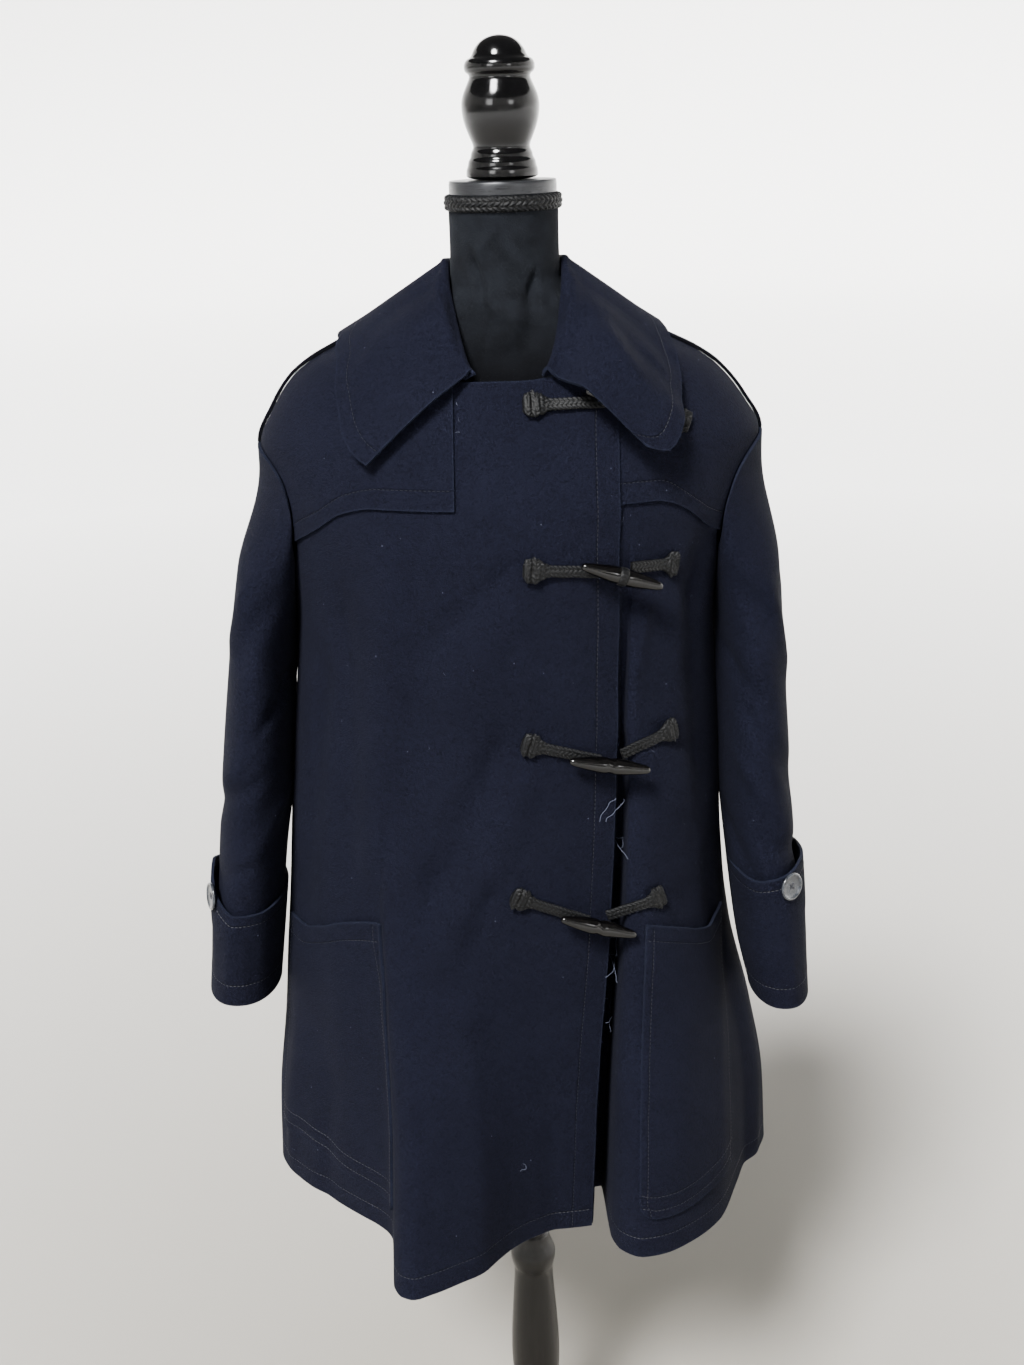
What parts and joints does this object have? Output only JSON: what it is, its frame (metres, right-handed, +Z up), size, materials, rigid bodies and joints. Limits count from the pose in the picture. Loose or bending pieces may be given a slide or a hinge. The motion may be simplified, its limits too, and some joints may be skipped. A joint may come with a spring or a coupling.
{
  "type": "toggle coat on dress form",
  "caption": "Wool toggle coat with wide collar, yokes, patch pockets and buttoned cuffs, closed by toggles and cord loops, worn by a limbless dress form on a turned post and round base.",
  "frame": {"origin": "centre of the stand base's flat underside", "axes": "+Z up along the post, -Y towards the front of the coat, +X towards the wearer's left"},
  "size_m": [0.6424, 0.4547, 1.6752],
  "materials": {
    "navy_wool": "napped melton wool",
    "black_cord": "braided cotton cord",
    "black_horn": "polished horn",
    "grey_shell": "polished shell",
    "black_jersey": "velvet jersey",
    "black_braid": "herringbone braid",
    "gloss_finial": "gloss black lacquer on wood",
    "grey_plate": "satin",
    "satin_stand": "satin dark stain"
  },
  "bodies": {
    "root": {"back": "navy_wool", "collar": "navy_wool", "cuff_button_left": "grey_shell", "cuff_button_right": "grey_shell", "cuff_left": "navy_wool", "cuff_right": "navy_wool", "form_torso": "black_jersey", "front_left_under": "navy_wool", "front_right_top": "navy_wool", "loop_cord_1": "black_cord", "loop_cord_2": "black_cord", "loop_cord_3": "black_cord", "loop_cord_4": "black_cord", "neck_braid": "black_braid", "neck_finial": "gloss_finial", "neck_plate": "grey_plate", "pocket_left": "navy_wool", "pocket_right": "navy_wool", "shoulder_seam_left": "navy_wool", "shoulder_seam_right": "navy_wool", "sleeve_left": "navy_wool", "sleeve_right": "navy_wool", "stand_base": "satin_stand", "stand_post": "satin_stand", "toggle_1": "black_horn", "toggle_2": "black_horn", "toggle_3": "black_horn", "toggle_4": "black_horn", "toggle_cord_1": "black_cord", "toggle_cord_2": "black_cord", "toggle_cord_3": "black_cord", "toggle_cord_4": "black_cord", "yoke_left_front": "navy_wool", "yoke_right_front": "navy_wool"}
  },
  "joints": []
}
